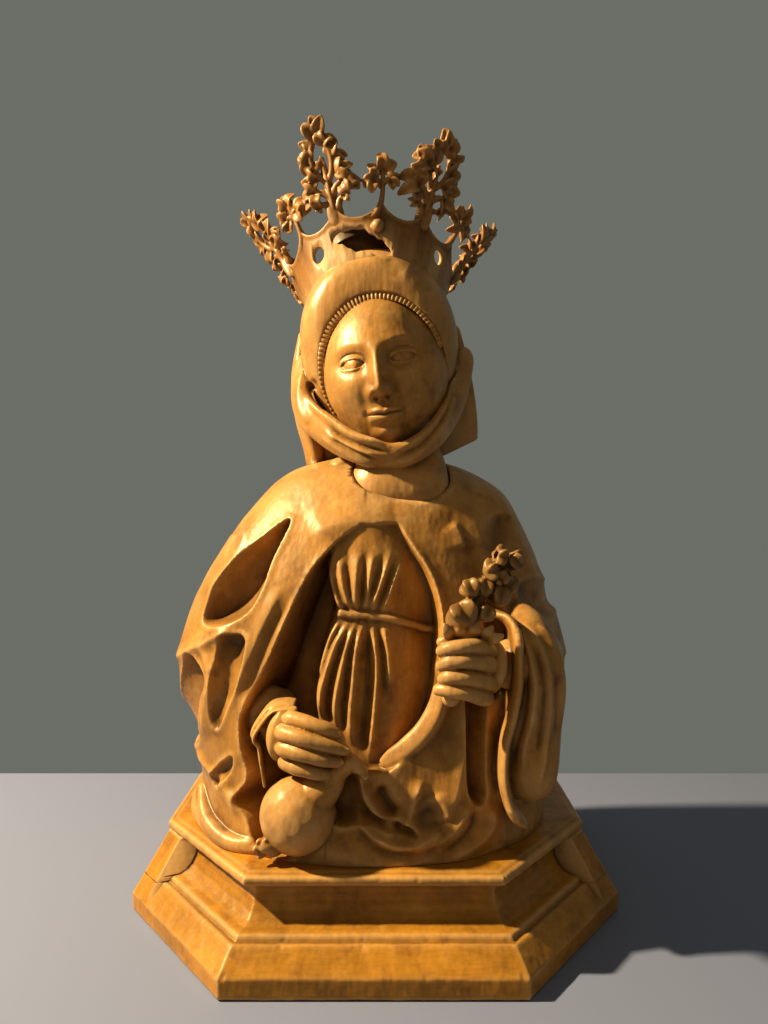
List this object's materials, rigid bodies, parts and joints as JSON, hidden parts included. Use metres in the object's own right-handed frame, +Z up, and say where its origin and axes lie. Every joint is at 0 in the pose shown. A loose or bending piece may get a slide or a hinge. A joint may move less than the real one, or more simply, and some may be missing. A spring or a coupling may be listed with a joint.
{
  "type": "carved wooden half-figure statue",
  "caption": "Carved wooden half-figure of a crowned, veiled woman holding a gourd and a spray of seed heads, on a moulded plinth with canted front corners.",
  "frame": {"origin": "centre of the plinth's underside", "axes": "+Z up, -Y out of the figure's front, +X to the viewer's right as seen from the front"},
  "size_m": [0.5, 0.385, 0.8096],
  "materials": {
    "plinth": "waxed limewood, honey brown, worn along the moulded edges",
    "figure": "waxed limewood, honey brown, fine tool facets, darker in the folds",
    "crown": "waxed limewood, honey brown, darker in the pierced leaves"
  },
  "bodies": {
    "root": {"plinth": "plinth", "figure": "figure", "crown": "crown"}
  },
  "joints": []
}
